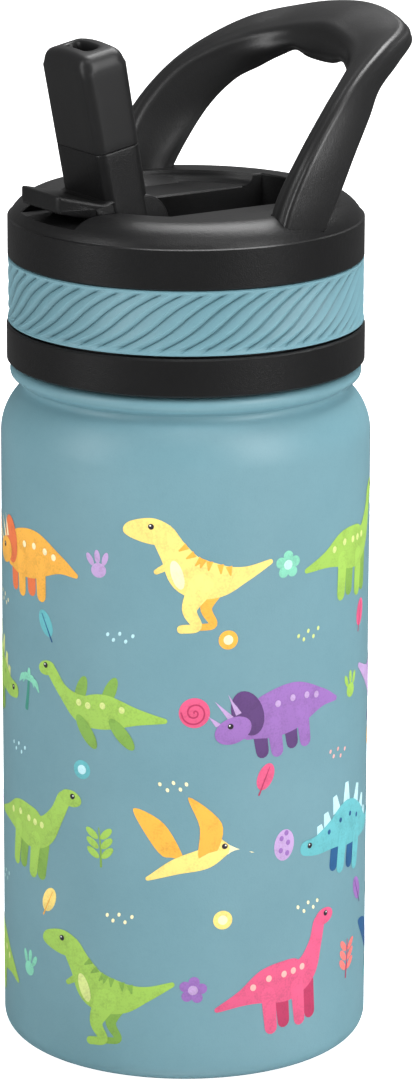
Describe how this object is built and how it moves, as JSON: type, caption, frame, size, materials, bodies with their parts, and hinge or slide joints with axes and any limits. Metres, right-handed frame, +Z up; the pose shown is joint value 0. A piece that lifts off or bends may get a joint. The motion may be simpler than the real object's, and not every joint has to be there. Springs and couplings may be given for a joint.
{
  "type": "kids water bottle",
  "caption": "Insulated kids' bottle with a screw lid, a flip-up straw spout with a thumb tab, a soft grip band and a leaning carry loop.",
  "frame": {"origin": "centre of the base, on the surface that the bottle stands on", "axes": "+Z up along the bottle, -Y the drinking side with the thumb tab, +Y the side that the carry loop leans to, +X the side on the right when seen from the drinking side"},
  "size_m": [0.073, 0.0808, 0.2054],
  "materials": {
    "coated_steel": "matt slate-blue powder coat with printed pictures",
    "bare_steel": "fine brushed stainless steel",
    "getter_metal": "dull grey",
    "solder": "dull solder",
    "clear_silicone": "milky silicone",
    "black_plastic": "fine spark-eroded texture",
    "blue_silicone": "matt moulded silicone",
    "pin_steel": "polished pin",
    "black_silicone": "smooth matt silicone",
    "straw_plastic": "milky clear plastic"
  },
  "bodies": {
    "bottle": {"outer_shell": "coated_steel", "inner_liner": "bare_steel", "shell_bottom": "bare_steel", "base_cover": "bare_steel", "getter": "getter_metal", "vacuum_seal": "solder"},
    "gasket": {"lid_gasket": "clear_silicone"},
    "lid": {"thread_sleeve": "black_plastic", "silicone_band": "blue_silicone", "lid_shell": "black_plastic", "carry_handle": "black_plastic", "spout_pins": "pin_steel", "spout_seal": "clear_silicone", "straw_socket": "clear_silicone", "straw": "straw_plastic", "vent_valve": "clear_silicone"},
    "spout": {"spout_base": "black_plastic", "mouthpiece": "black_silicone"}
  },
  "joints": [
    {"name": "lid_rise", "type": "slide", "parent": "bottle", "child": "gasket", "axis": [0, 0, 1], "range_m": [0, 0.0051]},
    {"name": "lid_turn", "type": "hinge", "parent": "gasket", "child": "lid", "pos_m": [0, 0, 0.15], "axis": [0, 0, 1], "range_deg": [0, 450]},
    {"name": "spout_flip", "type": "hinge", "parent": "lid", "child": "spout", "pos_m": [0, -0.0155, 0.168], "axis": [-1, 0, 0], "range_deg": [0, 101]}
  ],
  "couplings": [
    {"joint": "lid_rise", "follows": "lid_turn", "m_per_rad": 0.00063662}
  ]
}
